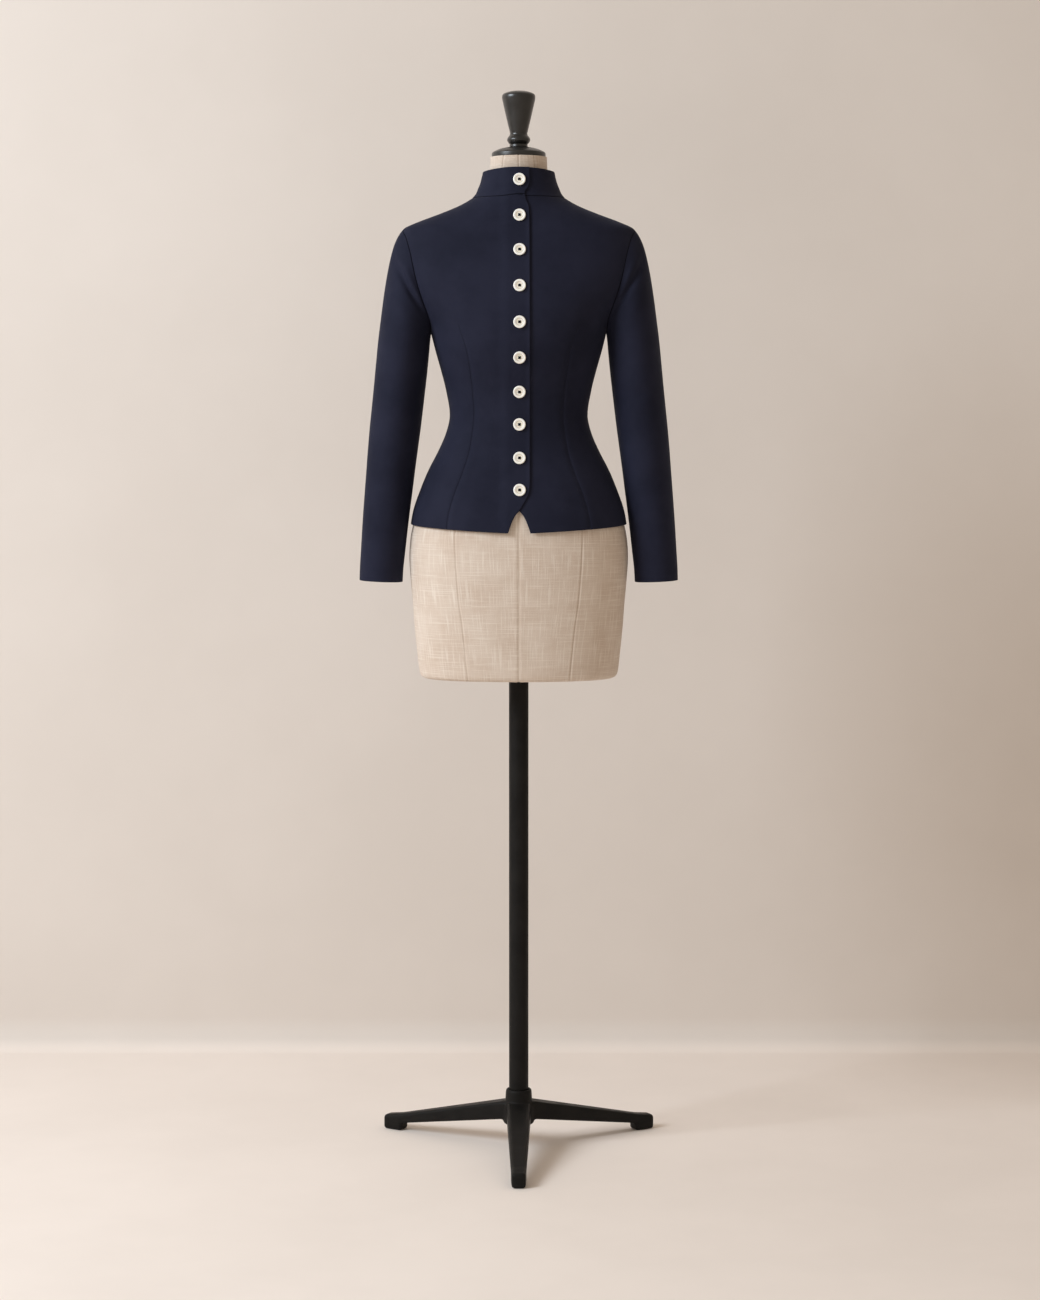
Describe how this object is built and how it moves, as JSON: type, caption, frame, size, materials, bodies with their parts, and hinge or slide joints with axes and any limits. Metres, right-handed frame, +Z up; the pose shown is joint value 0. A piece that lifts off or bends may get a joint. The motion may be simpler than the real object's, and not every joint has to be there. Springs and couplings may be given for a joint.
{
  "type": "high-neck jacket on a dress form",
  "caption": "Fitted dark high-neck jacket with set-in sleeves, buttoned down the middle, on a limbless linen-covered dress form with a turned cap and a low footed stand.",
  "frame": {"origin": "on the floor under the middle of the whole object", "axes": "+Z up; the buttoned side faces -Y; +X is the wearer's left"},
  "size_m": [0.5196, 0.3982, 1.7297],
  "materials": {
    "navy_cloth": "matt wool-like weave",
    "bone": "polished cream",
    "linen": "plain slubby linen",
    "black_wood": "black satin lacquer",
    "black_steel": "black powder coat"
  },
  "bodies": {
    "root": {"front_right": "navy_cloth", "front_left": "navy_cloth", "back_panel": "navy_cloth", "sleeve_right": "navy_cloth", "sleeve_left": "navy_cloth", "collar": "navy_cloth", "button_01": "bone", "button_02": "bone", "button_03": "bone", "button_04": "bone", "button_05": "bone", "button_06": "bone", "button_07": "bone", "button_08": "bone", "button_09": "bone", "button_10": "bone", "form_body": "linen", "neck_cap": "black_wood", "finial": "black_wood", "pole": "black_steel", "base": "black_steel"}
  },
  "joints": []
}
